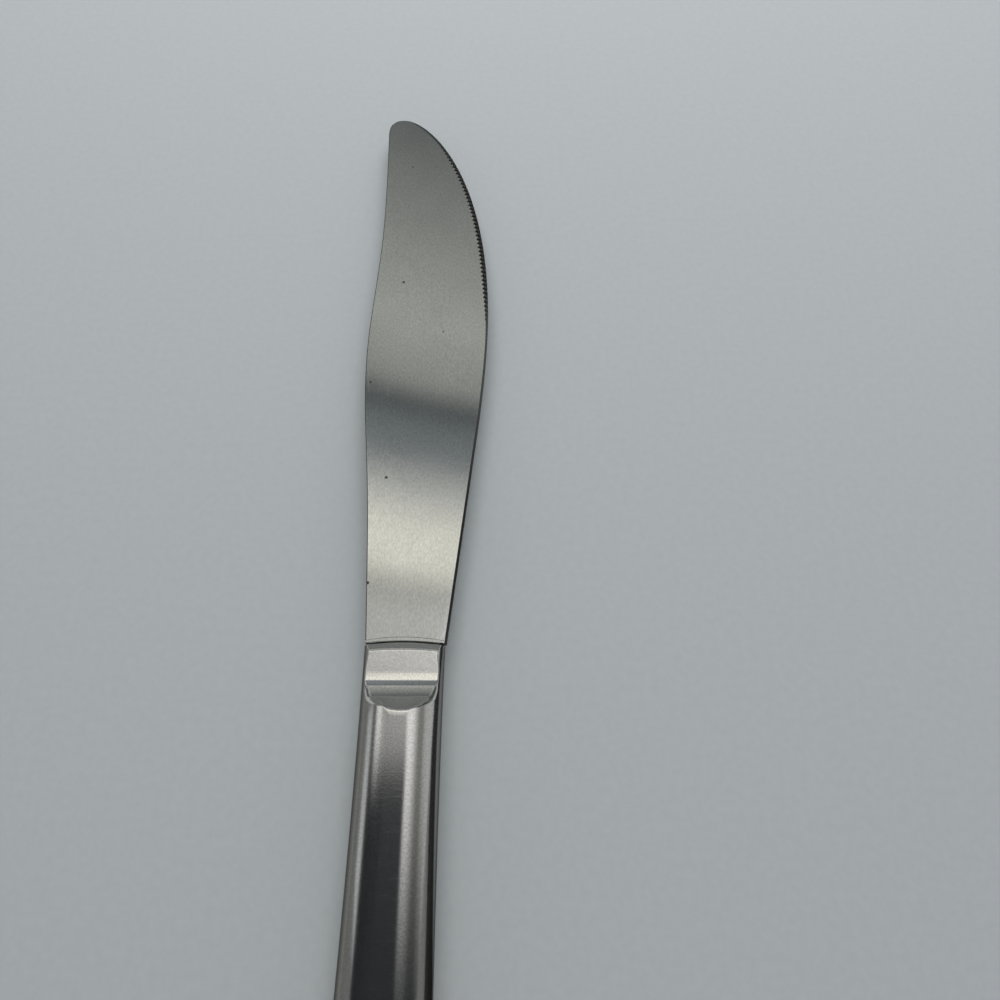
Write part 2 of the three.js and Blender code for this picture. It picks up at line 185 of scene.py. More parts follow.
# Rows of the mesh step inward square to the outline, and only sideways at the foot, where the joint is.
inward = np.stack([-edge_heading[:, 1], edge_heading[:, 0]], 1)
foot_share = np.linspace(1, -1, np.sum(kinds == "foot"), endpoint=False)
inward[kinds == "foot"] = np.column_stack([foot_share, np.zeros_like(foot_share)])
step = np.linalg.norm(np.roll(outline, -1, 0) - outline, axis=1)
travel = np.concatenate([[0], np.cumsum(step)[:-1]])
tooth_travel = travel - travel[np.argmax(kinds == "toothed")]
tip_travel = travel - travel[np.argmax(kinds == "back")]

run_on = 1 - ease_between(tip_travel, -RUN_OUT_BEFORE, RUN_OUT_AFTER)
past_tip = tip_travel > RUN_OUT_AFTER
ease = BACK_EASE + (TIP_EASE - BACK_EASE) * np.exp(-(np.abs(tip_travel) / TIP_EASE_REACH) ** 2)
bevel = BEVEL_PLAIN + (BEVEL_TOOTHED - BEVEL_PLAIN) * ease_between(tooth_travel, WIDENS_FROM, WIDENS_TO)
bevel = np.where(past_tip, ease, ease + (bevel - ease) * run_on)
roll = FOOT_ROLL * np.clip(1 - outline[:, 1] / FOOT_ROLL_REACH, 0, 1) * (kinds == "plain")


def face_height(spots):
    return FACE_HALF - LEAN_TO_TIP * spots[:, 1] - LEAN_TO_EDGE * spots[:, 0]


# Each tooth gap is a round groove ground along the bevel's own slope.
face_at_bevel = face_height(outline + inward * bevel[:, None]) - roll
edge_land = EDGE_LAND / 2 + (face_at_bevel - ease - EDGE_LAND / 2) * (1 - run_on)
edge_land = np.where(past_tip, face_at_bevel - ease, edge_land)
bevel_slope = np.arctan2(face_at_bevel - edge_land, bevel)
off_groove = np.abs((tooth_travel % TOOTH_PITCH) - TOOTH_PITCH / 2)
groove = np.sqrt(np.clip(TOOTH_RADIUS ** 2 - off_groove ** 2, 0, None)) - (TOOTH_RADIUS - TOOTH_DEPTH)
grown = np.clip(tooth_travel / TEETH_GROW + FIRST_TOOTH, 0, 1)
grown = grown * np.clip((TEETH_LENGTH - tooth_travel) / TEETH_DIE, 0, 1)
groove = np.where((tooth_travel > 0) & (tooth_travel < TEETH_LENGTH), groove * grown, 0)
groove = np.clip(groove, 0, None)

# Rows from the middle of the edge up over the bevel, or the eased back, and over a border of the face, each
# as an inset and a height.
rows = []
for rise in (0.0, 0.5, 1.0):
    rows.append((np.zeros(count), edge_land * rise))
for share in np.linspace(0, 1, BEVEL_ROWS + 1)[1:]:
    turn = share * math.pi / 2
    climb = face_at_bevel - edge_land
    round_over = np.stack([bevel * (1 - math.cos(turn)), edge_land + climb * math.sin(turn)])
    flat_bevel = np.stack([bevel * share, edge_land + climb * share])
    rows.append(tuple(np.where(past_tip, round_over, flat_bevel)))
edge_rows = len(rows)
for share in np.linspace(0, 1, BORDER_ROWS + 1)[1:]:
    inset = bevel + FACE_BORDER * share
    rows.append((inset, face_height(outline + inward * inset[:, None]) - roll * (1 - share) ** 2))

# Each point's share of the depth of its tooth gap, kept for the shade painted into the gaps.
upper_points, lower_points, gap_shade_rows = [], [], []
for inset, height in rows:
    lower_points.append(np.column_stack([outline + inward * inset[:, None], -height]))
    above_axis = (height - edge_land) * np.cos(bevel_slope) - inset * np.sin(bevel_slope)
    cut = np.where(groove > 0, np.clip(above_axis + groove, 0, None), 0)
    spots = outline + inward * (inset + cut * np.sin(bevel_slope))[:, None]
    upper_points.append(np.column_stack([spots, height - cut * np.cos(bevel_slope)]))
    gap_shade_rows.append(np.clip(cut / TOOTH_DEPTH, 0, 1))

plate_points = np.concatenate(lower_points[:0:-1] + upper_points)
plate_rings = len(lower_points) - 1 + len(upper_points)
plate_faces = ring_faces(plate_rings, count)
first_edge_face = (len(rows) - edge_rows) * count
last_edge_face = (len(rows) - 2 + edge_rows) * count
ring_face_count = (plate_rings - 1) * count
plate_faces += [list(range(count))[::-1], list(range(ring_face_count, ring_face_count + count))]

# Unground strip across the foot: a hair prouder than the faces, with a step along its front that bows more
# than the joint. Its profile runs towards the tip: share of its width, and height above the blade's face.
STRIP_WIDTH, STRIP_END_WIDTH, STRIP_POINTS = 0.68, 0.44, 41
STRIP_PROFILE = ((0.0, -0.02), (0.09, 0.06), (0.73, 0.064), (1.0, -0.04))
strip_x = np.linspace(-FOOT_BACK_REACH, FOOT_EDGE_REACH - BEVEL_PLAIN, STRIP_POINTS)
off_middle = 2 * (strip_x - strip_x[0]) / (strip_x[-1] - strip_x[0]) - 1
strip_back = foot_y + MOUTH_ARCH * (1 - off_middle ** 2)
strip_width = STRIP_WIDTH + (STRIP_END_WIDTH - STRIP_WIDTH) * off_middle ** 2
strip_rows = []
for share, above in STRIP_PROFILE:
    spots = np.column_stack([strip_x, strip_back + strip_width * share])
    strip_rows.append(np.column_stack([spots, face_height(spots) + above]))
strip_loops = np.stack(strip_rows + [row * (1, 1, -1) for row in strip_rows[::-1]], 1)
strip_count = strip_loops.shape[1]
strip_points = strip_loops.reshape(-1, 3)
strip_faces = [face[::-1] for face in ring_faces(STRIP_POINTS, strip_count)]
last_loop = (STRIP_POINTS - 1) * strip_count
strip_faces += [list(range(strip_count)), list(range(last_loop, last_loop + strip_count))[::-1]]

# Tang: a tapered tongue with keying notches, out of sight inside the handle.
TANG_LENGTH, TANG_HALF, TANG_ROOT, TANG_END, TANG_OVERLAP = 42.0, 0.7, 3.3, 2.2, 4.0
NOTCHES, NOTCH_HALF, NOTCH_DEPTH = (10.0, 20.0, 30.0), 1.5, 0.8
tang_side = [(TANG_ROOT, TANG_OVERLAP)]
for notch in NOTCHES:
    near, far = notch - NOTCH_HALF, notch + NOTCH_HALF
    for place, depth in ((near, 0), (near, NOTCH_DEPTH), (far, NOTCH_DEPTH), (far, 0)):
        tang_side.append((TANG_ROOT + (TANG_END - TANG_ROOT) * place / TANG_LENGTH - depth, -place))
tang_side.append((TANG_END, -TANG_LENGTH))
tang_loop = np.array(tang_side[::-1] + [(-x, y) for x, y in tang_side])
tang_count = len(tang_loop)
tang_points = np.concatenate([
    np.column_stack([tang_loop, np.full(tang_count, z)]) for z in (-TANG_HALF, TANG_HALF)])
tang_faces = ring_faces(2, tang_count)
tang_faces += [list(range(tang_count))[::-1], list(range(tang_count, 2 * tang_count))]

blade_points, blade_faces = plate_points, plate_faces
for points, faces in ((strip_points, strip_faces), (tang_points, tang_faces)):
    blade_faces = blade_faces + [[i + len(blade_points) for i in face] for face in faces]
    blade_points = np.concatenate([blade_points, points])
BLADE_SHARP = 22
blade = add_piece("satin_blade", blade_points, blade_faces, BLADE_SHARP)

# Where shade is painted into the tooth gaps and onto the tang, and which faces are left as the coarse wheel
# cut them: the edge, the walls of the tooth gaps, the joint's wall and the tang.
GAP_WALL = 0.2
painted_gap_shade = np.zeros(len(blade.data.vertices))
painted_gap_shade[(len(rows) - 1) * count:plate_rings * count] = np.concatenate(gap_shade_rows)
painted_gap_shade[-len(tang_points):] = 1.0
coarse = np.zeros(len(blade.data.polygons), int)
coarse[:ring_face_count] = painted_gap_shade[np.array(plate_faces[:ring_face_count])].max(axis=1) > GAP_WALL
coarse[first_edge_face:last_edge_face] = 1
coarse[len(plate_faces) + np.arange(STRIP_POINTS - 1) * strip_count + strip_count - 1] = 1
coarse[-len(tang_faces):] = 1
blade.data.attributes.new("painted_gap_shade", "FLOAT", "POINT").data.foreach_set("value", painted_gap_shade)


def linear(hex_colour):
    """sRGB hex to the linear colour that shader sockets take."""
    parts = [int(hex_colour[i:i + 2], 16) / 255 for i in (1, 3, 5)]
    return tuple(c / 12.92 if c <= 0.04045 else ((c + 0.055) / 1.055) ** 2.4 for c in parts) + (1.0,)


def node(tree, kind, settings=None, inputs=None, stops=()):
    """Adds one node: inputs are values for its sockets or sockets to link to, stops a ramp's sRGB shades."""
    made = tree.nodes.new(kind)
    for key, value in (settings or {}).items():
        setattr(made, key, value)
    for key, value in (inputs or {}).items():
        if isinstance(value, bpy.types.NodeSocket):
            tree.links.new(value, made.inputs[key])
        else:
            made.inputs[key].default_value = value
    for index, (spot, shade) in enumerate(stops):
        marks = made.color_ramp.elements
        mark = marks[index] if index < len(marks) else marks.new(spot)
        mark.position, mark.color = spot, linear(shade)
    return made


def new_material(name):
    """A material with its node tree, its shader and the node that tells places on the piece."""
    made = bpy.data.materials.new(name)
    made.use_nodes = True
    tree = made.node_tree
    return made, tree, tree.nodes["Principled BSDF"], node(tree, "ShaderNodeTexCoord")


def repeats(*sizes):
    """Scale of a pattern that repeats at these millimetres along x, y and z."""
    return tuple(1 / (size * MM) for size in sizes)


# Ground and satin-finished stainless: the grinding lines run along the knife, so a reflection smears a little
# across the blade and stays clear along it. Table use adds faint scratches, specks, a mottle and a few pits.
blade_steel, tree, shader, place = new_material("satin_ground_stainless")
# Grinding lines are about 0.02 mm apart on the real blade; drawn about 0.12 mm apart so that they show.
grain_space = node(tree, "ShaderNodeMapping", inputs={
    "Vector": place.outputs["Object"], "Scale": repeats(0.125, 11.1, 0.125)})
grain = node(tree, "ShaderNodeTexNoise", inputs={
    "Vector": grain_space.outputs["Vector"], "Scale": 1.0, "Detail": 3.0})
# Wiping and washing leave a mottle of patches about 6 mm wide.
mottle = node(tree, "ShaderNodeTexNoise", inputs={
    "Vector": place.outputs["Object"], "Scale": 1 / (6.25 * MM), "Detail": 2.0})
# Stray scratches are about 0.05 mm wide and 3 to 8 mm long; drawn four times as wide so that they show.
scratch_space = node(tree, "ShaderNodeMapping", inputs={
    "Vector": place.outputs["Object"], "Scale": repeats(0.2, 5.55, 0.2)})
scratches = node(tree, "ShaderNodeTexNoise", inputs={
    "Vector": scratch_space.outputs["Vector"], "Scale": 1.0, "Detail": 2.0, "Roughness": 0.6})
scratch_lines = node(tree, "ShaderNodeMapRange", inputs={
    "Value": scratches.outputs["Fac"], "From Min": 0.62, "From Max": 0.72})
tone = node(tree, "ShaderNodeMix", inputs={
    "Factor": 0.35, 2: mottle.outputs["Fac"], 3: grain.outputs["Fac"]})
tint = node(tree, "ShaderNodeValToRGB", inputs={"Fac": tone.outputs[0]}, stops=(
    (0.3, "#d1d2ce"), (0.7, "#d9dad6")))
# Small corrosion pits, dark from this share of the radius inwards: across, along and radius of each.
PIT_DARK = 0.4
PITS = ((-4.06, 64.45, 0.3), (3.3, 53.75, 0.17), (-8.15, 43.3, 0.22), (-4.35, 25.8, 0.3), (-4.08, 93.0, 0.2),
        (-5.78, 8.8, 0.3))
pitted = None
for pit_x, pit_y, radius in PITS:
    pit_z = face_height(np.array([[pit_x, pit_y]]))[0]
    reach = node(tree, "ShaderNodeVectorMath", {"operation": "DISTANCE"}, {
        0: place.outputs["Object"], 1: tuple(to_frame((pit_x, pit_y, pit_z)))})
    pit = node(tree, "ShaderNodeMapRange", inputs={
        "Value": reach.outputs["Value"], "From Min": PIT_DARK * radius * MM, "From Max": radius * MM,
        "To Min": 1.0, "To Max": 0.0})
    if pitted is not None:
        pit = node(tree, "ShaderNodeMath", {"operation": "MAXIMUM"}, {0: pit.outputs[0], 1: pitted})
    pitted = pit.outputs[0]
stained = node(tree, "ShaderNodeMix", {"data_type": "RGBA"}, {
    0: pitted, 6: tint.outputs["Color"], 7: linear("#2e2b28")})
# Washing leaves dull specks about 0.2 mm wide and 0.5 mm long all over.
speck_space = node(tree, "ShaderNodeMapping", inputs={
    "Vector": place.outputs["Object"], "Scale": repeats(0.2, 0.5, 0.2)})
specks = node(tree, "ShaderNodeTexNoise", inputs={
    "Vector": speck_space.outputs["Vector"], "Scale": 1.0, "Detail": 2.0, "Roughness": 0.7})
speck_shade = node(tree, "ShaderNodeMapRange", inputs={
    "Value": specks.outputs["Fac"], "From Min": 0.3, "From Max": 0.7, "To Min": 0.78, "To Max": 1.06})
specked = node(tree, "ShaderNodeMix", {"data_type": "RGBA", "blend_type": "MULTIPLY"}, {
    0: 1.0, 6: stained.outputs[2], 7: speck_shade.outputs["Result"]})
rough = node(tree, "ShaderNodeMapRange", inputs={
    "Value": scratch_lines.outputs["Result"], "To Min": 0.11, "To Max": 0.16})
bump = node(tree, "ShaderNodeBump", inputs={
    "Height": grain.outputs["Fac"], "Strength": 0.03, "Distance": 0.01 * MM})
tangent = node(tree, "ShaderNodeTangent", {"direction_type": "UV_MAP", "uv_map": "grain"})
shader.inputs["Metallic"].default_value = 1.0
shader.inputs["Anisotropic"].default_value = 0.8
tree.links.new(specked.outputs[2], shader.inputs["Base Color"])
tree.links.new(rough.outputs["Result"], shader.inputs["Roughness"])
tree.links.new(bump.outputs["Normal"], shader.inputs["Normal"])
tree.links.new(tangent.outputs["Tangent"], shader.inputs["Tangent"])

# Stainless left as the coarse wheel cut it, all round the edge and on the tang: dull beside the satin faces.
# Its dark tint is painted shade over the bevels and the eased back, where a thin shadow line runs, and it is
# darkest in the tooth gaps and on the tang.
edge_steel, tree, shader, place = new_material("coarse_ground_edge_painted_shade")
in_gap = node(tree, "ShaderNodeAttribute", {"attribute_name": "painted_gap_shade"})
# Wheel marks about 0.05 mm apart, drawn about 0.2 mm apart so that they show.
marks = node(tree, "ShaderNodeTexNoise", inputs={
    "Vector": place.outputs["Object"], "Scale": 1 / (0.2 * MM), "Detail": 2.0})
tint = node(tree, "ShaderNodeValToRGB", inputs={"Fac": in_gap.outputs["Fac"]}, stops=(
    (0.15, "#656563"), (0.6, "#3c3c3a")))
rough = node(tree, "ShaderNodeMapRange", inputs={
    "Value": marks.outputs["Fac"], "To Min": 0.35, "To Max": 0.55})
shader.inputs["Metallic"].default_value = 1.0
tree.links.new(tint.outputs["Color"], shader.inputs["Base Color"])
tree.links.new(rough.outputs["Result"], shader.inputs["Roughness"])

blade.data.materials.append(blade_steel)
blade.data.materials.append(edge_steel)
blade.data.polygons.foreach_set("material_index", coarse)
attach(blade, "root")
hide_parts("blade")

# Handle half-shells
# Two equal stampings of stainless sheet, the lower one turned over; each is an open pan with a rim at the
# mouth, a flat land, a thumb scoop that climbs to the panel, and a ledge beside the panel.
HANDLE_LENGTH = 115.0
NECK_HALF, NECK_PLACE, BUTT_HALF, BUTT_ROUND = 5.5, 15.0, 8.0, 10.0
STRAIGHT_END = HANDLE_LENGTH - BUTT_ROUND
PANEL_HEIGHT, WALL, SEAM_HALF = 3.5, 0.85, 0.08
# Tilt of the skin in degrees along its girth from the seam: the flank rolls in, the ledge leans and the panel
# is level.
SECTION_TILTS, SECTION_POINTS = ((0, 88), (2.75, 36), (3.75, 27), (6.2, 0)), 81
# Towards the mouth the whole section is lower, which leaves the land its narrower width there.
MOUTH_SWELL, SWELL_START, SWELL_END = 0.8, 0.5, 6.0
RIM_LOW, RIM_LENGTH, LAND_HEIGHT = 1.22, 0.88, 1.65
# Slope of the scoop in degrees at distances behind the mouth: a gentle roll off the land, the climb, then a
# roll on to the panel.
SCOOP_SLOPES = ((3.92, 0), (4.18, 3.9), (5.11, 5.4), (5.26, 9.6), (5.84, 10.5), (6.15, 15.8), (6.9, 19),
                (9.22, 35.5), (9.42, 10), (9.86, 2), (10.2, 0))
SCOOP_SAMPLES = 2001
# The land's sides are rounded a little and the scoop's sides more, between these distances behind the mouth.
# The rim is left sharp, and the rounding dies away this close under the panel.
RELIEF_ROUND, SCOOP_ROUND, LEAST_ROUND = 0.16, 0.5, 1e-6
SCOOP_NEAR, SCOOP_FULL, SCOOP_LESS, SCOOP_FAR = 5.4, 6.6, 8.8, 9.8
ROUND_START, ROUND_FULL, ROUND_UNDER = 0.9, 1.5, 0.3
# The scoop ends on the panel in a bow, from these distances behind the mouth: this much sooner at its sides
# than at its lowest point, which lies a little to the edge's side of the axis.
SCOOP_BOW, SCOOP_BOW_HALF, SCOOP_LOWEST = 0.7, 3.1, 0.35
BOW_START, BOW_FULL = 7.4, 9.1
# The mouth's arch carries on into the rim and is gone where the land ends.
ARCH_FULL, ARCH_GONE = 1.3, 4.3


def half_width(behind):
    return NECK_HALF + (BUTT_HALF - NECK_HALF) * ((behind - NECK_PLACE) / (STRAIGHT_END - NECK_PLACE)) ** 2


def arch(x, behind):
    """How far the arched mouth and rim fall back beside the axis."""
    return MOUTH_ARCH * (x / half_width(0)) ** 2 * (1 - ease_between(behind, ARCH_FULL, ARCH_GONE))


def swell(behind):
    """Share of the section's full height at a distance behind the mouth."""
    return MOUTH_SWELL + (1 - MOUTH_SWELL) * ease_between(behind, SWELL_START, SWELL_END)


def soft_min(a, b, blend):
    near = np.clip(blend - np.abs(a - b), 0, None) / blend
    return np.minimum(a, b) - near * near * blend / 4


scoop_place = np.linspace(0, SCOOP_SLOPES[-1][0], SCOOP_SAMPLES)
scoop_slope = np.interp(scoop_place, *np.transpose(SCOOP_SLOPES))
scoop_climb = np.cumsum(np.tan(np.radians(scoop_slope))) * scoop_place[1]
scoop_climb *= (PANEL_HEIGHT - LAND_HEIGHT) / scoop_climb[-1]


def relief(behind):
    """Height left by the rim, land and scoop at a distance behind the arched mouth."""
    rim = RIM_LOW + (LAND_HEIGHT - RIM_LOW) * behind / RIM_LENGTH
    scoop = LAND_HEIGHT + np.interp(behind, scoop_place, scoop_climb)
    return soft_min(rim, scoop, RELIEF_ROUND)


# Section from the seam to the panel's border, as inset and height, and the same on the sheet's inner side.
girth = np.linspace(0, SECTION_TILTS[-1][0], SECTION_POINTS)
tilt = np.radians(np.interp((girth[1:] + girth[:-1]) / 2, *np.transpose(SECTION_TILTS)))
section = np.zeros((SECTION_POINTS, 2))
section[1:] = np.cumsum(np.column_stack([np.cos(tilt), np.sin(tilt)]) * girth[1], axis=0)
section[:, 1] *= PANEL_HEIGHT / section[-1, 1]
section[0, 1] = SEAM_HALF
run_along = np.gradient(section, axis=0)
run_along /= np.linalg.norm(run_along, axis=1, keepdims=True)
inner_section = section + np.column_stack([run_along[:, 1], -run_along[:, 0]]) * WALL
inner_section[0] = (WALL, SEAM_HALF)
inner_section[:, 1] = np.maximum(inner_section[:, 1], SEAM_HALF)

# Stations down one side, round the butt and up the other: close together over the rim and scoop, then wider.
RIM_SPAN, RIM_STEPS, SCOOP_SPAN, SCOOP_STEPS = 1.8, 31, 11.5, 160
REST_STEPS, REST_SPREAD, BUTT_STEPS, PANEL_COLUMNS = 50, 1.3, 97, 10
places = np.concatenate([
    np.linspace(0, RIM_SPAN, RIM_STEPS), np.linspace(RIM_SPAN, SCOOP_SPAN, SCOOP_STEPS)[1:],
    SCOOP_SPAN + (STRAIGHT_END - SCOOP_SPAN) * np.linspace(0, 1, REST_STEPS)[1:-1] ** REST_SPREAD])
turns = np.linspace(0, math.pi, BUTT_STEPS)
butt_places = STRAIGHT_END + BUTT_ROUND * np.sin(turns)
station_place = np.concatenate([places, butt_places, places[::-1]])
station_x = np.concatenate([
    -half_width(places), -half_width(butt_places) * np.cos(turns), half_width(places[::-1])])
stations = len(station_place)
half_stations = stations // 2 + 1
path = np.column_stack([station_x, -station_place])
heading = np.gradient(path, axis=0)
heading /= np.linalg.norm(heading, axis=1, keepdims=True)
side = np.column_stack([-heading[:, 1], heading[:, 0]])


def skin(profile, sunk):
    """Grid of points over one skin of the shell: rings round the outline, then rows across the panel."""
    rings = [(path + side * inset, height) for inset, height in profile]
    border, panel_height = rings[-1]
    left, right = border[:half_stations], border[::-1][:half_stations]
    for column in range(1, PANEL_COLUMNS):
        rings.append((left + (right - left) * column / PANEL_COLUMNS, panel_height))
    grids = []
    for spots, height in rings:
        behind = -spots[:, 1]
        off_lowest = np.minimum(np.abs(spots[:, 0] - SCOOP_LOWEST) / SCOOP_BOW_HALF, 1)
        bowed = behind + SCOOP_BOW * off_lowest ** 2 * ease_between(behind, BOW_START, BOW_FULL)
        in_scoop = ease_between(behind, SCOOP_NEAR, SCOOP_FULL)
        in_scoop = in_scoop * (1 - ease_between(bowed, SCOOP_LESS, SCOOP_FAR))
        rounding = RELIEF_ROUND + (SCOOP_ROUND - RELIEF_ROUND) * in_scoop
        rounding = rounding * min((PANEL_HEIGHT - sunk - height) / ROUND_UNDER, 1)
        rounding = rounding * np.clip((behind - ROUND_START) / (ROUND_FULL - ROUND_START), 0, 1)
        pressed = relief(np.clip(bowed, 0, None)) - sunk
        level = soft_min(height * swell(behind), pressed, np.maximum(rounding, LEAST_ROUND))
        level = np.maximum(level, SEAM_HALF)
        grids.append(np.column_stack([spots[:, 0], spots[:, 1] - arch(spots[:, 0], behind), level]))
    return np.concatenate(grids)


def skin_faces(rings, base):
    """Quads of one skin, and its borders: along the seam, and across the mouth."""
    starts = [base + ring * stations for ring in range(rings)]
    here = np.arange(stations - 1)
    quads = []
    for low, high in zip(starts, starts[1:]):
        quads += np.stack([low + here, low + here + 1, high + here + 1, high + here], 1).tolist()
    columns = [[starts[-1] + i for i in range(half_stations)]]
    first = base + rings * stations
    for column in range(PANEL_COLUMNS - 1):
        columns.append([first + column * half_stations + i for i in range(half_stations)])
    columns.append([starts[-1] + stations - 1 - i for i in range(half_stations)])
    for left, right in zip(columns, columns[1:]):
        for i in range(half_stations - 1):
            quads.append([left[i], left[i + 1], right[i + 1], right[i]])
    seam = [starts[0] + i for i in range(stations)]
    across_panel = [column[0] for column in columns[1:-1]]
    mouth = starts + across_panel + [start + stations - 1 for start in starts[::-1]]
    return quads, seam, mouth


SHELL_SHARP = 40


def half_shell(name):
    """One stamping: outer and inner skin, joined along the seam and across the mouth."""
    outer, inner = skin(section, 0.0), skin(inner_section, WALL)
    faces, outer_seam, outer_mouth = skin_faces(SECTION_POINTS, 0)
    inner_faces, inner_seam, inner_mouth = skin_faces(SECTION_POINTS, len(outer))
    faces = faces + [face[::-1] for face in inner_faces]
    for i in range(stations - 1):
        faces.append([outer_seam[i + 1], outer_seam[i], inner_seam[i], inner_seam[i + 1]])
    for i in range(len(outer_mouth) - 1):
        faces.append([outer_mouth[i], outer_mouth[i + 1], inner_mouth[i + 1], inner_mouth[i]])
    return add_piece(name, np.concatenate([outer, inner]), faces, SHELL_SHARP)


upper_shell = half_shell("upper_handle_half")
lower_shell = half_shell("lower_handle_half")
turned_over = np.array([v.co for v in lower_shell.data.vertices])
turned_over[:, 0] *= -1
turned_over[:, 2] = 2 * SEAM_Z * MM - turned_over[:, 2]
lower_shell.data.vertices.foreach_set("co", turned_over.ravel())
lower_shell.data.update()

# Stamped and buffed stainless: brighter and clearer than the blade, with only a faint lengthwise grain. Hands
# and drawers have rubbed fine scratches into it, and its fine orange peel breaks up what it reflects.
handle_steel, tree, shader, place = new_material("buffed_stamped_stainless")
# Buffing lines about 0.03 mm apart, drawn 0.15 mm apart so that they show.
grain_space = node(tree, "ShaderNodeMapping", inputs={
    "Vector": place.outputs["Object"], "Scale": repeats(0.154, 6.67, 0.154)})
grain = node(tree, "ShaderNodeTexNoise", inputs={
    "Vector": grain_space.outputs["Vector"], "Scale": 1.0, "Detail": 3.0})
# Rubbed scratches 2 to 4 mm long across the handle, drawn 0.2 mm wide so that they show.
scratch_space = node(tree, "ShaderNodeMapping", inputs={
    "Vector": place.outputs["Object"], "Scale": repeats(2.86, 0.182, 0.182)})
scratches = node(tree, "ShaderNodeTexNoise", inputs={
    "Vector": scratch_space.outputs["Vector"], "Scale": 1.0, "Detail": 2.0, "Roughness": 0.6})
scratch_lines = node(tree, "ShaderNodeMapRange", inputs={
    "Value": scratches.outputs["Fac"], "From Min": 0.6, "From Max": 0.75})
# Painted shade: the panel, land and ledges are painted bright and steep flanks darker, by how level it is.
PAINTED_FLANK_SHADE = ((0.0, "#abaaa7"), (0.49, "#abaaa7"), (0.71, "#c4c3c0"), (0.95, "#d6d5d2"), (1.0, "#efeeeb"))
facing = node(tree, "ShaderNodeSeparateXYZ", inputs={"Vector": place.outputs["Normal"]})
level = node(tree, "ShaderNodeMath", {"operation": "ABSOLUTE"}, {0: facing.outputs["Z"]})
shade_by_level = node(tree, "ShaderNodeMapRange", inputs={"Value": level.outputs["Value"], "From Min": 0.1})
grained = node(tree, "ShaderNodeMath", {"operation": "MULTIPLY_ADD"}, {
    0: grain.outputs["Fac"], 1: 0.02, 2: shade_by_level.outputs["Result"]})
tint = node(tree, "ShaderNodeValToRGB", inputs={"Fac": grained.outputs["Value"]}, stops=PAINTED_FLANK_SHADE)
# Buffing over the stamped skin leaves an orange peel about 0.15 mm wide, which breaks up the borders of
# reflections; drawn 0.25 mm wide so that it shows. Its hollows get a little painted shade.
peel = node(tree, "ShaderNodeTexNoise", inputs={
    "Vector": place.outputs["Object"], "Scale": 1 / (0.25 * MM), "Detail": 1.0})
peel_bump = node(tree, "ShaderNodeBump", inputs={
    "Height": peel.outputs["Fac"], "Strength": 0.1, "Distance": 0.02 * MM})
speck_shade = node(tree, "ShaderNodeMapRange", inputs={
    "Value": peel.outputs["Fac"], "From Min": 0.3, "From Max": 0.7, "To Min": 0.83, "To Max": 1.01})
specked = node(tree, "ShaderNodeMix", {"data_type": "RGBA", "blend_type": "MULTIPLY"}, {
    0: 1.0, 6: tint.outputs["Color"], 7: speck_shade.outputs["Result"]})
rough = node(tree, "ShaderNodeMapRange", inputs={
    "Value": scratch_lines.outputs["Result"], "To Min": 0.13, "To Max": 0.2})
bump = node(tree, "ShaderNodeBump", inputs={
    "Height": grain.outputs["Fac"], "Strength": 0.05, "Distance": 0.01 * MM,
    "Normal": peel_bump.outputs["Normal"]})
tangent = node(tree, "ShaderNodeTangent", {"direction_type": "UV_MAP", "uv_map": "grain"})
shader.inputs["Metallic"].default_value = 1.0
shader.inputs["Anisotropic"].default_value = 0.75
shader.inputs["Specular Tint"].default_value = linear("#a0a0a0")
tree.links.new(specked.outputs[2], shader.inputs["Base Color"])
tree.links.new(rough.outputs["Result"], shader.inputs["Roughness"])
tree.links.new(bump.outputs["Normal"], shader.inputs["Normal"])
tree.links.new(tangent.outputs["Tangent"], shader.inputs["Tangent"])
for shell, node_name in ((upper_shell, "upper_half_shell"), (lower_shell, "lower_half_shell")):
    shell.data.materials.append(handle_steel)
    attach(shell, "root")
    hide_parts(node_name)

# Seam braze
# A thin line of silver braze that has run between the two rims and been dressed flush; it shows only as a
# dull hairline along the sides and round the butt.
braze, tree, shader, place = new_material("dull_silver_braze")
# Solidified grains of about 0.2 mm give the line its dull, uneven grey.
grains = node(tree, "ShaderNodeTexNoise", inputs={
    "Vector": place.outputs["Object"], "Scale": 1 / (0.2 * MM), "Detail": 3.0})
tint = node(tree, "ShaderNodeValToRGB", inputs={"Fac": grains.outputs["Fac"]}, stops=(
    (0.0, "#6f6d66"), (1.0, "#a19e94")))
shader.inputs["Metallic"].default_value = 1.0
shader.inputs["Roughness"].default_value = 0.45
tree.links.new(tint.outputs["Color"], shader.inputs["Base Color"])
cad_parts["seam_braze"].data.materials.clear()
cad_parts["seam_braze"].data.materials.append(braze)

# Tang cement
# Set filler of resin and stone dust poured round the tang; only its front face can be seen, deep in the
# joint between blade and handle.
cement, tree, shader, place = new_material("set_stone_filler")
# Stone dust of about 0.15 mm makes it dark, matte and finely mottled.
dust = node(tree, "ShaderNodeTexNoise", inputs={
    "Vector": place.outputs["Object"], "Scale": 1 / (0.154 * MM), "Detail": 4.0})
tint = node(tree, "ShaderNodeValToRGB", inputs={"Fac": dust.outputs["Fac"]}, stops=(
    (0.0, "#2f2c28"), (1.0, "#4a463f")))
shader.inputs["Roughness"].default_value = 0.95
tree.links.new(tint.outputs["Color"], shader.inputs["Base Color"])
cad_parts["tang_cement"].data.materials.clear()
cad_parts["tang_cement"].data.materials.append(cement)

# Table
# A plain sheet of pale matte paper that the knife lies on; it runs to the horizon in every view. Its reach is
# in metres, as are all lengths from here on.
PAPER_REACH = 12.0
paper_corners = [(x * PAPER_REACH, y * PAPER_REACH, 0) for x, y in ((-1, -1), (1, -1), (1, 1), (-1, 1))]
paper_mesh = bpy.data.meshes.new("paper_sheet")
paper_mesh.from_pydata(paper_corners, [], [(0, 1, 2, 3)])
paper_sheet = bpy.data.objects.new("paper_sheet", paper_mesh)
bpy.context.scene.collection.objects.link(paper_sheet)
paper, tree, shader, place = new_material("matte_paper")
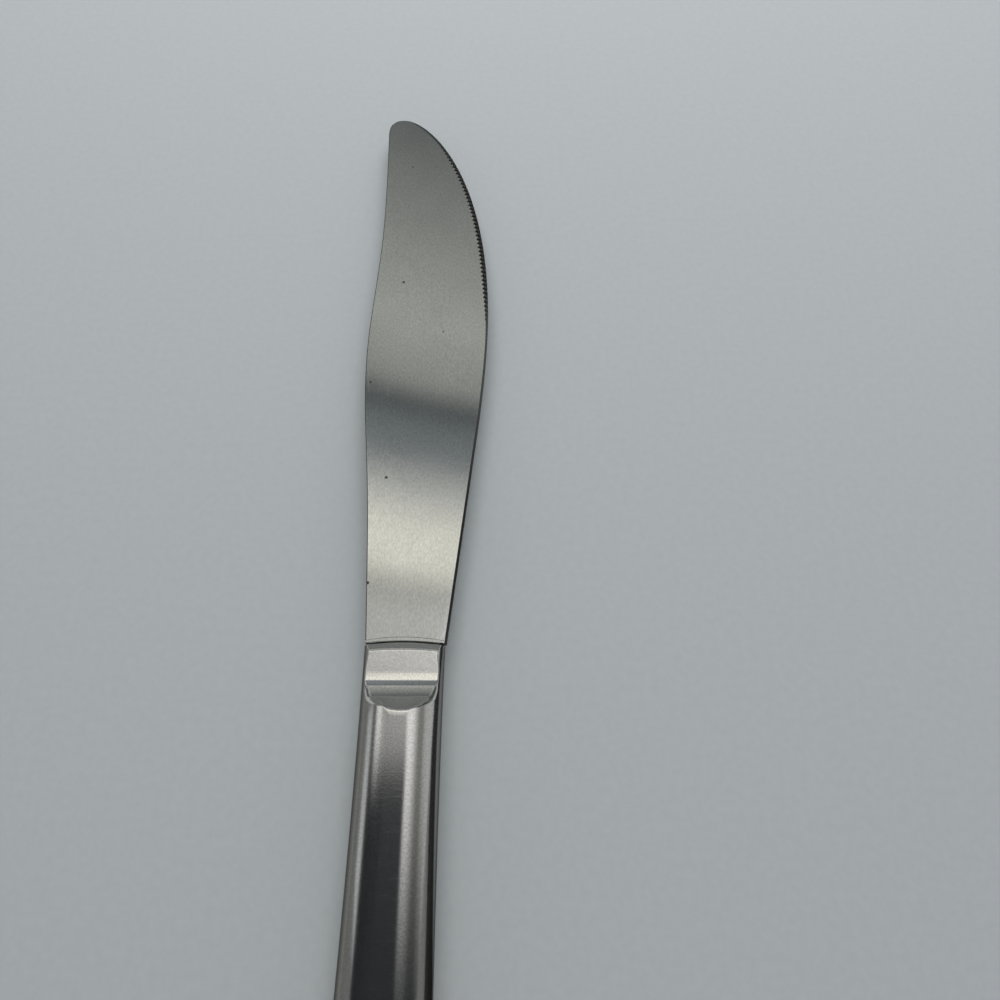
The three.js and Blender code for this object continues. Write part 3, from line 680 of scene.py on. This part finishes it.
# Paper fibres show as a faint mottle about 1 mm wide.
fibres = node(tree, "ShaderNodeTexNoise", inputs={
    "Vector": place.outputs["Object"], "Scale": 1 / (1.11 * MM), "Detail": 3.0})
tint = node(tree, "ShaderNodeValToRGB", inputs={"Fac": fibres.outputs["Fac"]}, stops=(
    (0.0, "#adb2b4"), (1.0, "#b6bbbd")))
shader.inputs["Roughness"].default_value = 0.8
shader.inputs["Specular IOR Level"].default_value = 0.2
tree.links.new(tint.outputs["Color"], shader.inputs["Base Color"])
paper_sheet.data.materials.append(paper)

# Light
# A soft studio room: tall pale walls, light panels overhead and to the sides with dull gaps between them, a
# dark screen above the camera, cards beside and ahead of the knife, and one large soft lamp for the paper.
WALL_SHADE, CEILING_SHADE, GAP_SHADE, SCREEN_SHADE = "#c9cccd", "#b4b7b8", "#505252", "#2a2c2f"
room = bpy.data.worlds.new("soft_studio_room")
bpy.context.scene.world = room
room.use_nodes = True
tree = room.node_tree
background = tree.nodes["Background"]
look = node(tree, "ShaderNodeTexCoord")
split = node(tree, "ShaderNodeSeparateXYZ", inputs={"Vector": look.outputs["Generated"]})

# Angles by which the room is laid out: how far aside of straight up a direction lies, and how far ahead. The
# overhead panels and the dark screen hang a little askew, so each has its own ahead, by this turn in degrees.
ASKEW = {"ahead": 0, "panels_ahead": 7.3, "screen_ahead": -1.4}
aside = node(tree, "ShaderNodeMath", {"operation": "ARCTAN2"}, {0: split.outputs["X"], 1: split.outputs["Z"]})
angles = {"aside": aside.outputs["Value"]}
for name, turn in ASKEW.items():
    forward = (math.sin(math.radians(turn)), math.cos(math.radians(turn)), 0)
    along = node(tree, "ShaderNodeVectorMath", {"operation": "DOT_PRODUCT"}, {
        0: look.outputs["Generated"], 1: forward})
    ahead = node(tree, "ShaderNodeMath", {"operation": "ARCSINE"}, {0: along.outputs["Value"]})
    angles[name] = ahead.outputs["Value"]
PANELS_MIDDLE = -8
off_panels = node(tree, "ShaderNodeMath", {"operation": "SUBTRACT"}, {
    0: angles["aside"], 1: math.radians(PANELS_MIDDLE)})
off_panels = node(tree, "ShaderNodeMath", {"operation": "ABSOLUTE"}, {0: off_panels.outputs["Value"]})
angles["off_panels"] = off_panels.outputs["Value"]

# Panels over the middle, by degrees ahead of straight up; panels to the sides, by degrees aside; and how much
# of the ceiling at each place aside belongs to the middle.
OVERHEAD = ((5.5, "#acacaa"), (8.5, "#909090"), (13, "#cacac7"), (17, "#c8c8c5"), (18.4, "#b2b2af"),
            (20.1, "#fffcf2"), (22.6, "#fffcf2"), (25.1, "#d8d8d5"), (28.6, "#80868a"), (30.8, "#767c80"),
            (32.1, "#343c42"), (33.6, "#a0a29f"), (38.1, "#b8bab6"), (52, "#666a6b"), (58, "#9a9ea0"))
TO_SIDES = ((-73, "#7c7c7a"), (-69, "#dcdcda"), (-65, "#dcdcda"), (-61, "#616161"), (-50, "#616161"),
            (-46, "#e8e8e8"), (17, "#e8e8e8"), (36, "#8a8a88"), (48, "#8a8a88"), (53, "#c6c6c4"))
MIDDLE = ((-34, "#000000"), (-28, "#ffffff"), (-6, "#ffffff"), (1, "#000000"))
LOWEST, HIGHEST = -90, 90
bands = {}
for name, stops, angle in (("overhead", OVERHEAD, "panels_ahead"), ("sides", TO_SIDES, "aside"),
                           ("middle", MIDDLE, "aside")):
    spread = node(tree, "ShaderNodeMapRange", inputs={
        "Value": angles[angle], "From Min": math.radians(LOWEST), "From Max": math.radians(HIGHEST)})
    shares = [((degrees - LOWEST) / (HIGHEST - LOWEST), shade) for degrees, shade in stops]
    band = node(tree, "ShaderNodeValToRGB", inputs={"Fac": spread.outputs["Result"]}, stops=shares)
    bands[name] = band.outputs["Color"]

# Where one part of the room gives way to the next: the angle, and the degrees where that starts and is done.
# The side panels lose their light towards the viewer's end of the room, and further ahead the overhead
# panels reach across. These end to the left and right, where a dull gap shows. The dark screen hangs behind
# and left of straight up, and the ceiling behind it is plain and pale again.
FADES = {
    "side_light": ("ahead", -10.5, 10),
    "far_ahead": ("ahead", 14, 20),
    "past_ends": ("off_panels", 22, 32),
    "screen_front": ("screen_ahead", 9.7, 4.4),
    "screen_left": ("aside", -64, -57),
    "screen_right": ("aside", 6, -2),
    "past_screen": ("ahead", -13, -24),
}
fades = {}
for name, (angle, start, done) in FADES.items():
    fade = node(tree, "ShaderNodeMapRange", {"interpolation_type": "SMOOTHSTEP"}, {
        "Value": angles[angle], "From Min": math.radians(start), "From Max": math.radians(done)})
    fades[name] = fade.outputs["Result"]
overhead_share = node(tree, "ShaderNodeMath", {"operation": "MAXIMUM"}, {
    0: bands["middle"], 1: fades["far_ahead"]})
screen = node(tree, "ShaderNodeMath", {"operation": "MULTIPLY"}, {
    0: fades["screen_front"], 1: fades["screen_left"]})
screen = node(tree, "ShaderNodeMath", {"operation": "MULTIPLY"}, {
    0: screen.outputs["Value"], 1: fades["screen_right"]})
# The pale walls go all the way round, up to this share of straight up.
WALL_TOP, WALL_GONE = 0.42, 0.54
above_walls = node(tree, "ShaderNodeMapRange", {"interpolation_type": "SMOOTHSTEP"}, {
    "Value": split.outputs["Z"], "From Min": WALL_TOP, "From Max": WALL_GONE})

side_panels = node(tree, "ShaderNodeMix", {"data_type": "RGBA"}, {
    0: fades["side_light"], 6: linear(SCREEN_SHADE), 7: bands["sides"]})
overhead = node(tree, "ShaderNodeMix", {"data_type": "RGBA"}, {
    0: fades["past_ends"], 6: bands["overhead"], 7: linear(GAP_SHADE)})
panels = node(tree, "ShaderNodeMix", {"data_type": "RGBA"}, {
    0: overhead_share.outputs["Value"], 6: side_panels.outputs[2], 7: overhead.outputs[2]})
screened = node(tree, "ShaderNodeMix", {"data_type": "RGBA"}, {
    0: screen.outputs["Value"], 6: panels.outputs[2], 7: linear(SCREEN_SHADE)})
ceiling = node(tree, "ShaderNodeMix", {"data_type": "RGBA"}, {
    0: fades["past_screen"], 6: screened.outputs[2], 7: linear(CEILING_SHADE)})
walled = node(tree, "ShaderNodeMix", {"data_type": "RGBA"}, {
    0: above_walls.outputs["Result"], 6: linear(WALL_SHADE), 7: ceiling.outputs[2]})
tree.links.new(walled.outputs[2], background.inputs["Color"])
background.inputs["Strength"].default_value = 1.0

LAMP_AIM = Vector((0.0, 0.1, 0.0))
lamp_data = bpy.data.lights.new("soft_lamp_ahead", "AREA")
lamp_data.shape = "RECTANGLE"
lamp_data.size, lamp_data.size_y = 0.5, 0.5
lamp_data.energy = 2.3
lamp = bpy.data.objects.new("soft_lamp_ahead", lamp_data)
lamp.location = (0.03, 0.43, 0.36)
lamp.rotation_euler = (LAMP_AIM - lamp.location).to_track_quat("-Z", "Y").to_euler()
lamp.visible_glossy = False
bpy.context.scene.collection.objects.link(lamp)

# Cards that only polished metal shows: one beside each flank, lying on the table and folded up at its far
# side, one more standing behind the right one, and one ahead of the tip. They give the flanks and the scoop
# their dark parts; the parts lying beside the flanks are painted shade, dark sheets where the knife's shadow
# falls on the paper. Each has its shade, the stretch of Y in which it fades out, and rows of corners.
CARDS = (
    ("grey_card_right", "#b4b4b2", (0.045, 0.08), (
        ((0.16, -0.2, 0), (0.16, -0.2, 0.1)),
        ((0.16, -0.005, 0), (0.16, -0.005, 0.1)),
        ((0.16, 0.08, 0), (0.16, 0.08, 0.04)))),
    # Its lying part is painted shade: a dark sheet where the knife's shadow falls beside the handle.
    ("black_shade_card_right", "#2c2c2c", (0.085, 0.12), (
        ((0.0075, -0.2, 0), (0.155, -0.2, 0), (0.155, -0.2, 0.002)),
        ((0.008, 0.02, 0), (0.155, 0.02, 0), (0.155, 0.02, 0.014)),
        ((0.0167, 0.049, 0), (0.155, 0.049, 0), (0.155, 0.049, 0.03)),
        ((0.011, 0.067, 0), (0.155, 0.067, 0), (0.155, 0.067, 0.036)),
        ((0.011, 0.1, 0), (0.155, 0.1, 0), (0.155, 0.1, 0.004)),
        ((0.011, 0.12, 0), (0.155, 0.12, 0), (0.155, 0.12, 0.002)))),
    # Its lying part is painted shade: a grey sheet where the knife's shadow falls beside the handle.
    ("grey_shade_card_left", "#a0a09e", (0.088, 0.12), (
        ((-0.0095, -0.2, 0), (-0.155, -0.2, 0), (-0.155, -0.2, 0.11)),
        ((-0.0095, -0.005, 0), (-0.155, -0.005, 0), (-0.155, -0.005, 0.1)),
        ((-0.0095, 0.03, 0), (-0.155, 0.03, 0), (-0.155, 0.03, 0.05)),
        ((-0.0095, 0.077, 0), (-0.155, 0.077, 0), (-0.155, 0.077, 0.05)),
        ((-0.0095, 0.081, 0), (-0.155, 0.081, 0), (-0.155, 0.081, 0.08)),
        ((-0.0095, 0.12, 0), (-0.155, 0.12, 0), (-0.155, 0.12, 0.08)))),
    ("pale_card_ahead", "#d0d0ce", (1.6, 1.7), (
        ((-1.2, 1.5, 0), (-1.2, 1.5, 0.85)),
        ((1.2, 1.5, 0), (1.2, 1.5, 0.85)))))
CARD_LIFT = 0.0001
for name, shade, (solid, gone), card_rows in CARDS:
    corners = [(x, y, z + CARD_LIFT) for row in card_rows for x, y, z in row]
    wide = len(card_rows[0])
    sheets = [(at, at + 1, at + wide + 1, at + wide) for row in range(len(card_rows) - 1)
              for at in range(row * wide, row * wide + wide - 1)]
    card_mesh = bpy.data.meshes.new(name)
    card_mesh.from_pydata(corners, [], sheets)
    card = bpy.data.objects.new(name, card_mesh)
    bpy.context.scene.collection.objects.link(card)
    card_paint, tree, shader, place = new_material("matte_" + name)
    spot = node(tree, "ShaderNodeSeparateXYZ", inputs={"Vector": place.outputs["Object"]})
    fading = node(tree, "ShaderNodeMapRange", inputs={
        "Value": spot.outputs["Y"], "From Min": solid, "From Max": gone, "To Min": 1.0, "To Max": 0.0})
    shader.inputs["Base Color"].default_value = linear(shade)
    shader.inputs["Roughness"].default_value = 0.9
    tree.links.new(fading.outputs["Result"], shader.inputs["Alpha"])
    card.data.materials.append(card_paint)
    card.visible_camera = card.visible_diffuse = card.visible_shadow = False

# Camera
# A hand-held camera with a wide lens, close above the handle and tilted forward, so that the blade runs away
# from the viewer.
camera_data = bpy.data.cameras.new("hand_camera")
camera_data.lens = 27.09
camera_data.sensor_width = 36.0
camera_data.clip_start = 0.005
camera = bpy.data.objects.new("hand_camera", camera_data)
camera.location = (0.01331, 0.03286, 0.10629)
camera.rotation_euler = (math.radians(25.757), 0, math.radians(0.316))
bpy.context.scene.collection.objects.link(camera)
bpy.context.scene.camera = camera
bpy.context.scene.view_settings.view_transform = "Standard"
